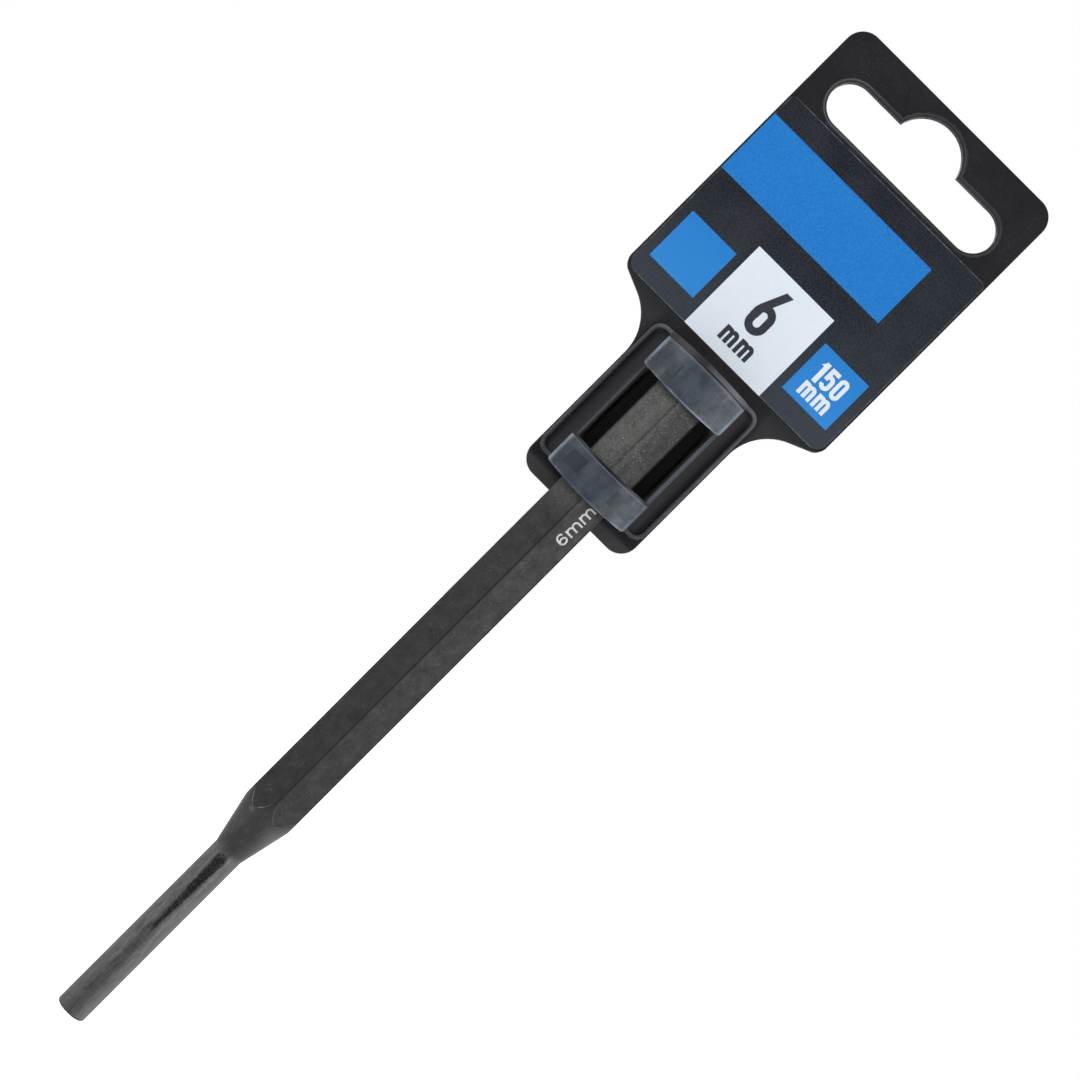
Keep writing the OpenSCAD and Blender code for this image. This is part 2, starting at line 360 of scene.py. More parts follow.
def blackenedSteel():
    p, s = punch, steel
    material, shader, place = startMaterial("blackenedSteel", specular=0.4, centre=(axisX, axisY, punchLow.z))
    x, y, along = axes(place)

    def grey(name, green=1.0, blue=1.0):
        return (s[name], s[name] * green, s[name] * blue)

    def leftToRight(left, right):
        return straight(x, -s["sideFade"], s["sideFade"], left, right)

    # Turned faces lie where the cone of the neck or head is inside the hexagon
    across = diagonal(x, y)
    neck = straight(along, p["pinLength"], neckEnd, p["pinRadius"], p["shankRadius"])
    head = straight(along, p["length"] - p["headChamfer"], p["length"], p["shankRadius"], p["headRadius"])
    inside = minus(calc("MINIMUM", neck, head), across)
    turned = ramp(inside, 0.020, 0.008)
    lathe = times(turned, ramp(along, neckEnd - 0.1, neckEnd, 1.0, 0.0))
    headTurned = times(turned, ramp(along, p["length"] - p["headChamfer"], p["length"] - 1.3))
    toCorner = times(calc("PINGPONG", calc("ARCTAN2", x, y), math.pi / p["sides"]), across)
    corner = times(ramp(toCorner, s["ridgeHalf"] + 0.06, s["ridgeHalf"] - 0.06),
                   minus(1.0, larger(lathe, headTurned)),
                   ramp(across, p["flatsHalf"] + 0.3, p["flatsHalf"] + 0.5))

    # Flats: blotches, fine grain, pale specks and a few rubbed marks
    blotch = noise(place, 0.42, 4.0, 0.62)
    grain = noise(place, 5.0, 3.0, 0.75)
    rubbed = noise(stretch(place, (3.0, 3.0, 0.35)), 1.2, 3.0, 0.6)
    mottle = plus(times(blotch, 0.42), times(grain, 0.58))
    color = blend(ramp(mottle, 0.36, 0.68), grey("flat"), grey("flatPale", 0.99, 0.97))
    color = blend(times(ramp(rubbed, 0.62, 0.78), 0.22), color, grey("speck"))
    # Paler and more speckled towards the struck end, mostly in front
    rubbedEnd = times(ramp(along, s["rubbedFrom"], s["rubbedTo"]), ramp(y, 2.0, -1.0, 0.3, 1.0))
    paler = times(rubbedEnd, leftToRight(0.43, 0.0), ramp(mottle, 0.35, 0.65, 0.5, 1.0))
    color = blend(paler, color, grey("speck", 0.99, 0.96))
    weave = times(rubbedEnd, ramp(noise(place, 2.4, 2.0, 0.5), 0.44, 0.64), leftToRight(0.24, 0.05))
    color = blend(weave, color, grey("speck"))
    share = between(rubbedEnd, 0.22, 0.50)
    dots = larger(specks(place, 1.6, 0.22, share), specks(place, 3.0, 0.29, share))
    dots = times(dots, ramp(grain, 0.36, 0.56), between(rubbedEnd, 0.32, 0.80))
    color = blend(dots, color, grey("worn"))

    # Turned neck: fine rings, smudges along it, paler to the right as painted light, dark at its arcs, and
    # darker in the front middle as painted shade
    rings = noise(stretch(place, (0.5, 0.5, 9.0)), 1.0, 5.0, 0.7)
    drawn = noise(stretch(place, (2.0, 2.0, 0.35)), 1.0, 4.0, 0.6)
    smoke = noise(stretch(place, (2.2, 2.2, 1.1)), 1.6, 3.0, 0.7)
    skin = plus(times(rings, 0.42), times(drawn, 0.58))
    fromMiddle = unsigned(x)
    onFront = ramp(y, 0.5, -0.5)
    cone = blend(ramp(skin, 0.22, 0.78), grey("neck"), grey("neckPale"))
    # Painted light: paler towards the right side
    cone = blend(times(ramp(x, 1.8, 4.2), 0.60), cone, grey("turnedPale"))
    # Darker towards the arcs, and painted shade down the front middle
    oxideAndShade = larger(ramp(along, neckEnd - 4.5, neckEnd - 0.8, 0.0, 0.75),
                   times(ramp(fromMiddle, 2.6, 0.8), onFront, 0.55))
    cone = blend(oxideAndShade, cone, grey("neckDark"))
    # Pin: paler to the right as a painted highlight; a ragged dark streak below the neck and a darker middle,
    # both painted dark reflection of the front; darker patches near the tip
    pin = blend(ramp(skin, 0.30, 0.70), grey("turned"), grey("turnedPale"))
    # Painted highlight on the right side of the pin
    pin = blend(times(ramp(x, 1.4, 2.6), 0.35), pin, grey("pinBright"))
    # Painted dark reflection down the front middle, ragged and hatched
    width = straight(along, 20.0, p["pinLength"] - 1.5, *s["streakHalf"])
    within = plus(minus(width, fromMiddle), times(minus(smoke, 0.5), 1.1))
    ragged = plus(along, times(minus(smoke, 0.5), 3.0))
    hatch = ramp(noise(stretch(place, (2.0, 2.0, 5.0)), 1.0, 3.0, 0.7), 0.35, 0.60, 0.66, 0.97)
    streak = times(ramp(within, -0.20, 0.32), band(ragged, s["streakFoot"], p["pinLength"] - 0.5, 0.7), hatch)
    shade = times(ramp(fromMiddle, 1.6, 0.2), 0.50, ramp(smoke, 0.35, 0.65, 0.6, 1.0))
    # Darker patches in the front middle near the tip
    nearTipDark = times(ramp(along, s["nearTipDarkFrom"], s["nearTipDarkTo"]), ramp(fromMiddle, 2.3, 1.0),
                   ramp(drawn, 0.46, 0.56), 0.5)
    pin = blend(times(larger(streak, larger(shade, nearTipDark)), onFront), pin, grey("streak"))
    tipEdge = band(along, 0.03, 0.32, 0.04)
    pin = blend(times(tipEdge, 0.6), pin, grey("streak"))
    onPin = ramp(along, p["pinLength"] - 1.0, p["pinLength"] + 1.6, 1.0, 0.0)
    color = blend(lathe, color, blend(onPin, cone, pin))
    color = blend(headTurned, color, grey("headPale"))

    # Dark ridges, worn lines along the arcs at neck and head, and one pale mark beside the left arc
    faint = times(ramp(noise(place, 0.5, 3.0, 0.6), 0.36, 0.56, 0.35, 0.9), between(rubbedEnd, 0.9, 0.06))
    color = blend(times(corner, faint), color, grey("ridge"))
    line = times(ramp(inside, 0.080, 0.03), minus(1.0, turned))
    nearArc = minus(1.0, band(along, neckEnd - 0.4, p["length"] - 1.6, 0.4))
    broken = ramp(noise(place, 1.1, 3.0, 0.6), 0.42, 0.60, 0.06, 0.65)
    worn = times(line, broken, leftToRight(1.0, 0.25))
    color = blend(times(worn, 0.35), color, grey("ridgeWorn"))
    color = blend(times(worn, nearArc), color, grey("worn"))
    paleMarkFoot, paleMarkTop = (neckEnd - drop for drop in s["paleMarkBelowArc"])
    paleMark = times(band(x, *s["paleMarkAcross"], 0.30), band(along, paleMarkFoot, paleMarkTop, 0.45), onFront)
    color = blend(times(paleMark, 0.24), color, grey("worn"))

    feed(shader.inputs["Metallic"], between(lathe, 0.30, 0.75))
    rough = mixed(lathe, ramp(mottle, 0.3, 0.7, 0.62, 0.46), ramp(skin, 0.3, 0.7, 0.42, 0.30))
    paint(shader, color, rough)
    bump(shader, mixed(lathe, grain, times(rings, 0.45)), 0.30, 0.05)
    return material


buildPunch(blackenedSteel())
print("punch done")


# Hanger card: plate with hang slot and holes behind the straps, raised lip, raised rim on the tongue

card = {
    "thickness": 1.8, "topRadius": 3.8, "footRadius": 2.5, "height": 59.5,
    "shoulderAngle": 23.0, "shoulderRadius": 9.9, "tongueHalf": 12.75, "tongueRadius": 3.5,
    "seatRadius": 6.9, "slotHalf": 19.3, "slotHeight": 8.6, "slotDrop": 2.8,
    "lipWidth": 0.8, "lipHeight": 0.35, "lipBead": 0.26,
    "rimInset": 0.25, "rimWall": 0.85, "rimHeight": 1.2, "rimRadius": 2.3, "rimBead": 0.36,
    "rimRun": 0.4, "rimLift": 0.06,  # how far the rim's ends run into the walls and stay above their foot
    "soft": 0.22, "coreMargin": 0.8, "coreRise": 2.0,
    "sink": 0.1,  # how deep raised features start inside the plate
}
holder = {
    "stopWall": 0.9, "wall": 0.7, "wallDraft": 1.0, "insideHalf": 8.15, "soft": 0.22, "arcSteps": 32,
}
strap = {
    "length": 7.2, "thickness": 1.4, "rise": 3.6, "footBow": 0.66, "cornerRadius": 0.55,
    "soft": 0.28, "softSegments": 4, "softAngle": 50, "topBow": {"upper_strap": 0.0, "lower_strap": 0.5},
    "ribInside": 5.15, "ribWall": 1.2, "ribLength": 4.2, "ribReach": 1.5, "ribDrop": 3.0, "ribSink": 0.3,
    # Sections across the strap as shares of its half width, closer together at the rounded ends
    "rows": 14, "shares": [step / 40 for step in range(-34, 35)],
    "endShares": [0.875, 0.9, 0.925, 0.945, 0.96, 0.975, 0.985, 0.993, 1.0],
}
holderTop, holderFoot = toMm(channelHigh.z), toMm(channelLow.z)
innerHalf = holder["insideHalf"]
channelHalf = holder["wall"] + innerHalf
strapOutside = -toMm(channelLow.y)
wallTop = strapOutside - strap["rise"]
strapHalf = toMm(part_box("upper_strap")[1].x)
arcRadius = (strapHalf ** 2 + strap["rise"] ** 2) / (2 * strap["rise"])
arcDepth = strapOutside - arcRadius
strapTops = {name: toMm(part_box(name)[1].z) for name in ("upper_strap", "lower_strap")}


def cardOutline():
    c = card
    half, top, foot = toMm(cardHigh.x), toMm(cardHigh.z), toMm(cardLow.z)
    cornerX, cornerZ = half - c["footRadius"], top - c["height"] + c["footRadius"]
    angle = math.radians(c["shoulderAngle"])
    hollowX = c["tongueHalf"] + c["shoulderRadius"]
    drop = c["footRadius"] + c["shoulderRadius"] + (cornerX - hollowX) * math.sin(angle)
    hollowZ = cornerZ - drop / math.cos(angle)
    tongueCorner = (c["tongueHalf"] - c["tongueRadius"], foot + c["tongueRadius"])
    side = arcPoints(tongueCorner, c["tongueRadius"], -90, 0)
    side += arcPoints((hollowX, hollowZ), c["shoulderRadius"], 180, 90 + c["shoulderAngle"], 16)
    side += arcPoints((cornerX, cornerZ), c["footRadius"], -90 + c["shoulderAngle"], 0)
    side += arcPoints((half - c["topRadius"], top - c["topRadius"]), c["topRadius"], 0, 90, 14)
    return mirrored(side)


def slotOutline(grow):
    c = card
    height = c["slotHeight"] / 2 + grow
    reach = c["slotHalf"] - c["slotHeight"] / 2
    seat = c["seatRadius"] + grow
    meet = math.degrees(math.asin((height - c["slotDrop"]) / seat))
    side = arcPoints((reach, -c["slotDrop"]), height, -90, 90, 24)
    side += arcPoints((0, 0), seat, meet, 90, 24)[:-1]
    return mirrored(side)


def coreOutline(top):
    low, high = top - strap["length"] + card["coreRise"], top - card["coreMargin"]
    return [(-innerHalf, low), (innerHalf, low), (innerHalf, high), (-innerHalf, high)]


def rimOutline():
    c = card
    half = c["tongueHalf"] - c["rimInset"]
    wall, outer, inner = c["rimWall"], c["rimRadius"], c["rimRadius"] - c["rimWall"]
    side = [(channelHalf - c["rimRun"], holderFoot + c["rimLift"])]
    side += arcPoints((half - outer, holderFoot + outer), outer, -90, 0)
    side += arcPoints((half - outer, holderTop + wall - outer), outer, 0, 90)
    back = [(channelHalf - c["rimRun"], holderFoot + wall)]
    back += arcPoints((half - wall - inner, holderFoot + wall + inner), inner, -90, 0)
    back += arcPoints((half - wall - inner, holderTop - inner), inner, 0, 90)
    return mirrored(side) + [(-x, z) for x, z in back] + back[::-1]


def buildCard(material):
    c = card
    shape = bmesh.new()
    front = c["thickness"]
    holes = [slotOutline(0)] + [coreOutline(top) for top in strapTops.values()]
    addPlate(shape, [cardOutline()] + holes, standing, 0, front)
    addPlate(shape, [slotOutline(c["lipWidth"]), slotOutline(0)], standing, front - c["sink"],
             front + c["lipHeight"], c["lipBead"])
    addPlate(shape, [rimOutline()], standing, front - c["sink"], front + c["rimHeight"], c["rimBead"])
    finishPiece("hanger_plate", shape, material, "hanger", ("hanger_card",), soft=c["soft"])


def buildChannel(material):
    # One closed form: side walls drafted inside, end wall with an arched front
    shape = bmesh.new()
    foot, under, top = holderFoot, holderTop - holder["stopWall"], holderTop
    base, outer, innerBase = card["thickness"] - card["sink"], channelHalf, innerHalf - holder["wallDraft"]
    turn = math.degrees(math.asin(strapHalf / arcRadius))
    arc = arcPoints((0, -arcDepth), arcRadius, -90 - turn, -90 + turn, holder["arcSteps"])
    arc = [(x, -y) for x, y in arc]

    def face(*corners):  # as x, depth, z
        shape.faces.new([shape.verts.new(standing(x, z, depth)) for x, depth, z in corners])

    for side in (-1, 1):
        outside, front, inside = side * outer, side * innerHalf, side * innerBase
        face((outside, base, foot), (outside, base, top), (outside, wallTop, top), (outside, wallTop, under),
             (outside, wallTop, foot))
        face((outside, wallTop, foot), (outside, wallTop, under), (front, wallTop, under),
             (front, wallTop, foot))
        face((front, wallTop, foot), (front, wallTop, under), (inside, base, under), (inside, base, foot))
        face((outside, base, foot), (outside, wallTop, foot), (front, wallTop, foot), (inside, base, foot))
        face((outside, wallTop, under), (outside, wallTop, top), (side * strapHalf, wallTop, top),
             (side * strapHalf, wallTop, under))
    for first, second in zip(arc, arc[1:]):
        face((*first, under), (*second, under), (*second, top), (*first, top))
    face((-outer, base, top), (-outer, wallTop, top), *[(*point, top) for point in arc],
         (outer, wallTop, top), (outer, base, top))
    face((-innerBase, base, under), (-innerHalf, wallTop, under), (-outer, wallTop, under),
         *[(*point, under) for point in arc],
         (outer, wallTop, under), (innerHalf, wallTop, under), (innerBase, base, under))
    face((-outer, base, foot), (-outer, base, top), (outer, base, top), (outer, base, foot),
         (innerBase, base, foot), (innerBase, base, under), (-innerBase, base, under),
         (-innerBase, base, foot))
    finishPiece("holder_walls", shape, material, "hanger", ("holder_channel",),
                soft=holder["soft"])


def strapEdges(x, top, topBow):  # lower and upper edge where the strap is x from the middle
    share = (x / strapHalf) ** 2
    radius = strap["cornerRadius"]
    past = max(abs(x) - (strapHalf - radius), 0.0)
    corner = radius - math.sqrt(max(radius ** 2 - past ** 2, 0.0))
    return top - strap["length"] + strap["footBow"] * share + corner, top - topBow * (1 - share)


def buildStrap(nodeName, pieceName, material):
    s = strap
    top, rows = strapTops[nodeName], s["rows"]
    shares = [-end for end in reversed(s["endShares"])] + s["shares"] + s["endShares"]
    shape = bmesh.new()
    sections = []
    for share in shares:
        ring = [(arcRadius, row / rows) for row in range(rows + 1)]  # outer face up, then inner face down
        ring += [(arcRadius - s["thickness"], row / rows) for row in range(rows, -1, -1)]
        points = []
        for radius, height in ring:
            reach = math.acos((wallTop - arcDepth) / radius)
            turn = share * reach
            x = radius * math.sin(turn)
            low, high = strapEdges(x * strapHalf / (radius * math.sin(reach)), top, s["topBow"][nodeName])
            depth = arcDepth + radius * math.cos(turn)
            points.append(shape.verts.new(standing(x, low + (high - low) * height, depth)))
        sections.append(points)
    count = len(sections[0])
    for first, second in zip(sections, sections[1:]):
        for index in range(count):
            shape.faces.new((first[index - 1], first[index], second[index], second[index - 1]))
    for end in (sections[0], sections[-1]):
        for row in range(rows):
            shape.faces.new((end[row], end[row + 1], end[count - 2 - row], end[count - 1 - row]))
    # Guide ribs beside the shank
    middle, shankDepth = top - s["ribDrop"], -toMm(axisY)
    outside = s["ribInside"] + s["ribWall"]
    crown = arcDepth + math.sqrt((arcRadius - s["ribSink"]) ** 2 - outside ** 2)
    for side in (-1, 1):
        left, right = sorted((side * s["ribInside"], side * outside))
        addBlock(shape, (left, -crown, middle - s["ribLength"] / 2),
                 (right, -(shankDepth - s["ribReach"]), middle + s["ribLength"] / 2))
    finishPiece(pieceName, shape, material, "hanger", (nodeName,), soft=s["soft"],
                segments=s["softSegments"], angle=s["softAngle"])


plastic = {
    # Painted light among these tones: raised, wallEdge, strapEdge and strapLine carry painted highlights;
    # moat and deep, and haze on the shoulders, lift the shade as painted light; strapDark also paints shade
    # seen through the straps
    "card": (0.0058, 0.0056, 0.0084), "cardPale": (0.0122, 0.0120, 0.0156),
    "raised": (0.092, 0.098, 0.116), "wallEdge": (0.084, 0.090, 0.108), "dust": (0.26, 0.26, 0.27),
    "haze": (0.0440, 0.0425, 0.0490), "moat": (0.0520, 0.0500, 0.0580), "deep": (0.0600, 0.0580, 0.0610),
    "strap": (0.026, 0.034, 0.046), "strapPale": (0.064, 0.080, 0.102), "strapDark": (0.011, 0.017, 0.026),
    "strapEdge": (0.20, 0.235, 0.28), "strapLine": (0.27, 0.31, 0.365),
    # Places on the straps in mm: across from the middle, and down from the strap's upper edge
    "leftField": (-6.9, -3.5), "rightField": (3.3, 7.8), "fieldDown": (2.1, 5.0),
    "uprightMark": (-3.75, -3.50), "uprightDown": (2.6, 5.4), "levelMark": (-5.2, -3.5),
    "levelDown": (5.15, 5.4), "glow": (-3.3, 3.2), "glowDown": (2.2, 6.0), "endFade": 8.0,
}


def cardPlastic():
    c, p = card, plastic
    material, shader, place = startMaterial("cardPlastic", specular=0.28)
    x, y, z = axes(place)
    depth, fromMiddle = times(y, -1.0), unsigned(x)
    face = c["thickness"]
    cloud = noise(place, 0.14, 5.0, 0.62)
    fine = noise(place, 5.5, 2.0, 0.6)
    color = blend(ramp(cloud, 0.42, 0.72), p["card"], p["cardPale"])

    # Painted light lifting the shade: paler in the moat round the holder, under the punch, below the rim and
    # on the shoulders
    front = ramp(depth, face - 0.7, face - 0.3)
    moatHalf = c["tongueHalf"] - 0.6
    inMoat = times(band(x, -moatHalf, moatHalf, 0.2), band(z, holderFoot + 0.5, holderTop, 0.2), front)
    color = blend(inMoat, color, p["moat"])
    color = blend(times(inMoat, band(x, -innerHalf, innerHalf, 0.1)), color, p["deep"])
    belowRim = times(ramp(z, holderFoot - 1.0, holderFoot - 2.2), front, 0.95)
    color = blend(belowRim, color, p["deep"])
    shoulder = times(ramp(z, holderTop + 6.0, holderTop - 3.0),
                     ramp(fromMiddle, c["tongueHalf"] - 1.0, c["tongueHalf"] + 1.0), front)
    color = blend(times(shoulder, 0.72), color, p["haze"])

    # Distance to the slot's edge gives a painted highlight along the lip's crown; lip and rim are lighter as
    # painted highlight, the rim more on the right
    beyond = larger(minus(fromMiddle, c["slotHalf"] - c["slotHeight"] / 2), 0.0)
    toStadium = minus(diagonal(beyond, plus(z, c["slotDrop"])), c["slotHeight"] / 2)
    toSlot = calc("MINIMUM", toStadium, minus(diagonal(x, z), c["seatRadius"]))
    lipTop = face + c["lipHeight"]
    lip = band(depth, lipTop - 0.12, lipTop + 0.1, 0.04)
    lipLine = times(band(toSlot, 0.34, 0.60, 0.09), ramp(plus(z, x), 4.0, -16.0, 0.35, 1.0))
    rimTop = face + c["rimHeight"]
    rim = ramp(depth, rimTop - 0.9, rimTop - 0.45)
    lip = times(lip, plus(0.12, times(lipLine, 0.9)))
    raised = larger(lip, times(rim, straight(x, -p["endFade"], p["endFade"], 0.90, 1.10)))
    color = blend(times(raised, ramp(cloud, 0.3, 0.6, 0.45, 1.0)), color, p["raised"])
    # Painted highlight along the rim's upper bar
    rimAcross = times(rim, ramp(z, holderTop - 0.8, holderTop), 0.20)
    color = blend(rimAcross, color, p["strapEdge"])

    # Edges paler, partly wear and partly painted highlight; dust and haze
    worn = times(edgeWearAndHighlight(shader, 0.22), ramp(noise(place, 0.9, 4.0, 0.7), 0.40, 0.62, 0.15, 0.8))
    color = blend(worn, color, p["raised"])
    small = times(specks(place, 2.9, 0.16, 0.30), ramp(cloud, 0.40, 0.62, 0.2, 0.8))
    color = blend(times(larger(specks(place, 1.3, 0.085, 0.22), small), 0.8), color, p["dust"])
    haze = times(ramp(fine, 0.44, 0.70), ramp(cloud, 0.38, 0.62, 0.3, 0.8))
    color = blend(times(haze, 0.7), color, p["haze"])
    paint(shader, color, ramp(cloud, 0.3, 0.7, 0.58, 0.46))
    bump(shader, fine, 0.30, 0.03)
    return material


def wallPlastic():
    p = plastic
    material, shader, place = startMaterial("wallPlastic", roughness=0.42, specular=0.35)
    x, y, z = axes(place)
    depth = times(y, -1.0)
    cloud = noise(place, 0.5, 4.0, 0.6)
    # Painted light: the inner faces take the paler deep tone, lifting the shade in the channel
    inward = ramp(unsigned(x), channelHalf - 0.2, channelHalf - 0.5)
    inward = times(inward, ramp(z, holderTop - 0.7, holderTop - 1.0))
    color = blend(ramp(cloud, 0.40, 0.7), p["card"], p["cardPale"])
    color = blend(inward, color, p["deep"])
    # Painted highlight on the wall tops and the slope below them, stronger on the right
    slope = times(ramp(depth, wallTop - 4.0, wallTop - 1.0), 0.55)
    edge = larger(slope, ramp(depth, wallTop - 0.5, wallTop - 0.05))
    edge = times(edge, ramp(cloud, 0.3, 0.6, 0.6, 1.0), straight(x, -1.0, 1.0, 0.22, 1.0))
    color = blend(edge, color, p["wallEdge"])
    # Rounded edges paler, partly wear and partly painted highlight
    color = blend(times(edgeWearAndHighlight(shader, 0.2), 0.25), color, p["strapPale"])
    paint(shader, color)
    bump(shader, noise(place, 4.0, 2.0, 0.6), 0.2, 0.03)
    return material


def strapPlastic():
    p = plastic
    material, shader, place = startMaterial("strapPlastic", specular=0.35)
    x, _, z = axes(place)
    # Height down from either strap's upper edge, and distance from its rounded outline
    upperTop, lowerTop = strapTops["upper_strap"], strapTops["lower_strap"]
    isLower = calc("LESS_THAN", z, (lowerTop + upperTop - strap["length"]) / 2)
    down = minus(between(isLower, upperTop, lowerTop), z)
    share = times(x, x, 1 / strapHalf ** 2)
    rise = minus(minus(strap["length"], down), times(share, strap["footBow"]))
    bow = times(isLower, strap["topBow"]["lower_strap"])
    below = minus(down, times(minus(1.0, share), bow))
    fromEnd = minus(strapHalf, unsigned(x))

    # Frosted skin: cloudy, streaked faintly along the punch
    cloud = noise(stretch(place, (1.0, 1.0, 0.8)), 0.30, 5.0, 0.60)
    fine = noise(stretch(place, (3.4, 3.4, 1.8)), 1.1, 3.0, 0.7)
    frost = plus(times(cloud, 0.74), times(fine, 0.26))
    color = blend(ramp(frost, 0.38, 0.64), p["strap"], p["strapPale"])

    # Ribs and cores below show through as darker fields beside a paler middle, painted as shade and light
    # seen through the frosted strap
    fields = times(band(down, *p["fieldDown"], 0.2), between(isLower, 0.40, 1.0))
    left = times(fields, band(x, *p["leftField"], 0.12), 1.2)
    right = times(fields, band(x, *p["rightField"], 0.2), 0.85)
    patch = times(larger(left, right), ramp(fine, 0.3, 0.7, 0.65, 1.0))
    color = blend(patch, color, p["strapDark"])
    upright = times(band(x, *p["uprightMark"], 0.08), band(down, *p["uprightDown"], 0.1))
    level = times(band(x, *p["levelMark"], 0.1), band(down, *p["levelDown"], 0.08))
    color = blend(times(larger(upright, level), minus(1.0, isLower), 0.8), color, p["strapDark"])
    glow = times(band(x, *p["glow"], 0.15), band(down, *p["glowDown"], 0.5),
                 ramp(cloud, 0.3, 0.6, 0.15, 0.40))
    color = blend(glow, color, p["strapPale"])

    # Paler to the right as painted light, a painted highlight round foot and ends, a dark upper edge as
    # painted shade with a painted highlight below
    sheen = times(ramp(x, 5.0, 9.0), ramp(cloud, 0.3, 0.6, 0.05, 0.26))
    color = blend(sheen, color, p["strapEdge"])
    atCorner = ramp(fromEnd, 5.0, 0.5, 0.30, 1.0)
    footLine = times(ramp(rise, 0.46, 0.16), between(isLower, 1.0, atCorner),
                     straight(x, -p["endFade"], p["endFade"], 0.50, 1.0))
    lowHalf = straight(rise, 6.5, 1.0, 0.45, 1.0)
    endLine = times(ramp(fromEnd, 0.80, 0.30), straight(x, -1.0, 1.0, 1.0, lowHalf))
    outline = times(larger(footLine, endLine), ramp(frost, 0.38, 0.60, 0.26, 0.90))
    color = blend(outline, color, p["strapLine"])
    color = blend(times(ramp(below, 0.90, 0.55), 0.24), color, p["strapEdge"])
    darkTop = between(isLower, 0.28, 0.46)
    topEdge = straight(below, minus(darkTop, 0.06), plus(darkTop, 0.06), 1.0, 0.0)
    color = blend(topEdge, color, p["card"])
    paint(shader, color, ramp(frost, 0.35, 0.65, 0.50, 0.36))
    bump(shader, frost, 0.35, 0.06)
    return material


buildCard(cardPlastic())
print("card done")
buildChannel(wallPlastic())
strapSkin = strapPlastic()
buildStrap("upper_strap", "strap_upper", strapSkin)
buildStrap("lower_strap", "strap_lower", strapSkin)
print("holder done")


# Printed label: one film, colour panels and plain size figures in thin ink

label = {
    "radius": 2.2, "topRadius": 0.9, "film": 0.12, "ink": 0.025, "overInk": 0.03,
    "soft": 0.04, "softSegments": 2,
    "black": (0.0045, 0.0090, 0.0150), "blackPale": (0.0255, 0.0300, 0.0395),
    "blue": (0.0092, 0.176, 0.565), "bluePale": (0.0154, 0.223, 0.661),
    # blackFoot and blueFoot, with the drop set below, give the painted sheen towards the label's foot
    "blackFoot": (0.0435, 0.0500, 0.0660), "blueFoot": (0.0323, 0.265, 0.705),
    "white": (0.77, 0.84, 0.92), "whitePale": (0.80, 0.87, 0.95), "worn": (0.22, 0.24, 0.27),
    "figure": (0.030, 0.031, 0.042), "figurePale": (0.049, 0.051, 0.064),
    "sheenDrop": 19.5,  # the film grows paler from here, in mm below its upper edge, to its foot
}
panels = {  # ink, low x, high x, then drops from the label's upper edge, in mm
    "print_wide_panel": ("blue", -23.65, 14.95, 17.9, 4.7),
    "print_size_panel": ("white", -9.15, 9.25, 41.55, 23.0),
    "print_left_panel": ("blue", -21.7, -11.0, 37.6, 26.8),
    "print_right_panel": ("blue", 10.95, 21.65, 37.6, 26.8),
}
labelTop, labelFoot = toMm(labelHigh.z), toMm(labelLow.z)
labelFront = -toMm(labelLow.y)


# Share of the painted sheen, from its drop below the label's upper edge to the foot
def towardsFoot(z):
    return straight(z, labelTop - label["sheenDrop"], labelFoot)


def labelFilm():
    material, shader, place = startMaterial("labelFilm", specular=0.28)
    x, _, z = axes(place)
    grain = noise(place, 2.6, 3.0, 0.65)
    tone = plus(times(grain, 0.72), times(noise(place, 0.12, 3.0, 0.5), 0.28))
    color = blend(ramp(tone, 0.39, 0.61), label["black"], label["blackPale"])
    # Painted sheen, paler towards the foot and to the right
    footSheen = plus(towardsFoot(z), straight(x, 5.0, 20.0, 0.0, 0.20))
    color = blend(times(footSheen, ramp(grain, 0.34, 0.66, 0.72, 1.18)), color, label["blackFoot"])
    # Worn along the film's edges
    fromEdge = calc("MINIMUM", minus(labelTop, z), minus(z, labelFoot))
    fromSide = minus(toMm(labelHigh.x), unsigned(x))
    edge = larger(ramp(fromEdge, 0.20, 0.05, 0.0, 0.8), ramp(fromSide, 0.24, 0.08, 0.0, 0.5))
    nicks = ramp(noise(place, 0.55, 5.0, 0.75), 0.34, 0.66, 0.05, 1.0)
    color = blend(times(edge, nicks), color, label["worn"])
    color = blend(times(specks(place, 1.1, 0.07, 0.20), 0.6), color, label["worn"])
    paint(shader, color, ramp(grain, 0.3, 0.7, 0.50, 0.40))
    bump(shader, noise(place, 0.35, 2.0, 0.5), 0.15, 0.20)
    return material


def printInk(name, tone, pale, foot=None):
    material, shader, place = startMaterial(name, roughness=0.45, specular=0.28)
    color = blend(ramp(noise(place, 3.4, 3.0, 0.65), 0.35, 0.65), tone, pale)
    # Painted sheen towards the label's foot
    if foot:
        color = blend(towardsFoot(axes(place)[2]), color, foot)
    paint(shader, color)
    bump(shader, noise(place, 0.35, 2.0, 0.5), 0.12, 0.20)
    return material


inks = {
    "blue": printInk("inkBlue", label["blue"], label["bluePale"], label["blueFoot"]),
    "white": printInk("inkWhite", label["white"], label["whitePale"]),
    "black": printInk("inkBlack", label["figure"], label["figurePale"]),
}


def buildLabel():
    film = bmesh.new()
    radius, topRadius, right = label["radius"], label["topRadius"], toMm(labelHigh.x)
    outline = arcPoints((right - radius, labelFoot + radius), radius, -90, 0)
    outline += arcPoints((right - topRadius, labelTop - topRadius), topRadius, 0, 90)
    addPlate(film, [mirrored(outline)], standing, labelFront - label["film"], labelFront)
    finishPiece("label_film", film, labelFilm(), "hanger", ("label",), soft=label["soft"],
                segments=label["softSegments"])
    for name, (ink, lowX, highX, lowDrop, highDrop) in panels.items():
        panel = bmesh.new()
        low, high = labelTop - lowDrop, labelTop - highDrop
        corners = [(lowX, low), (highX, low), (highX, high), (lowX, high)]
        addPlate(panel, [corners], standing, labelFront - meshing["overlap"], labelFront + label["ink"])
        finishPiece(name, panel, inks[ink], "hanger", smooth=False)


buildLabel()


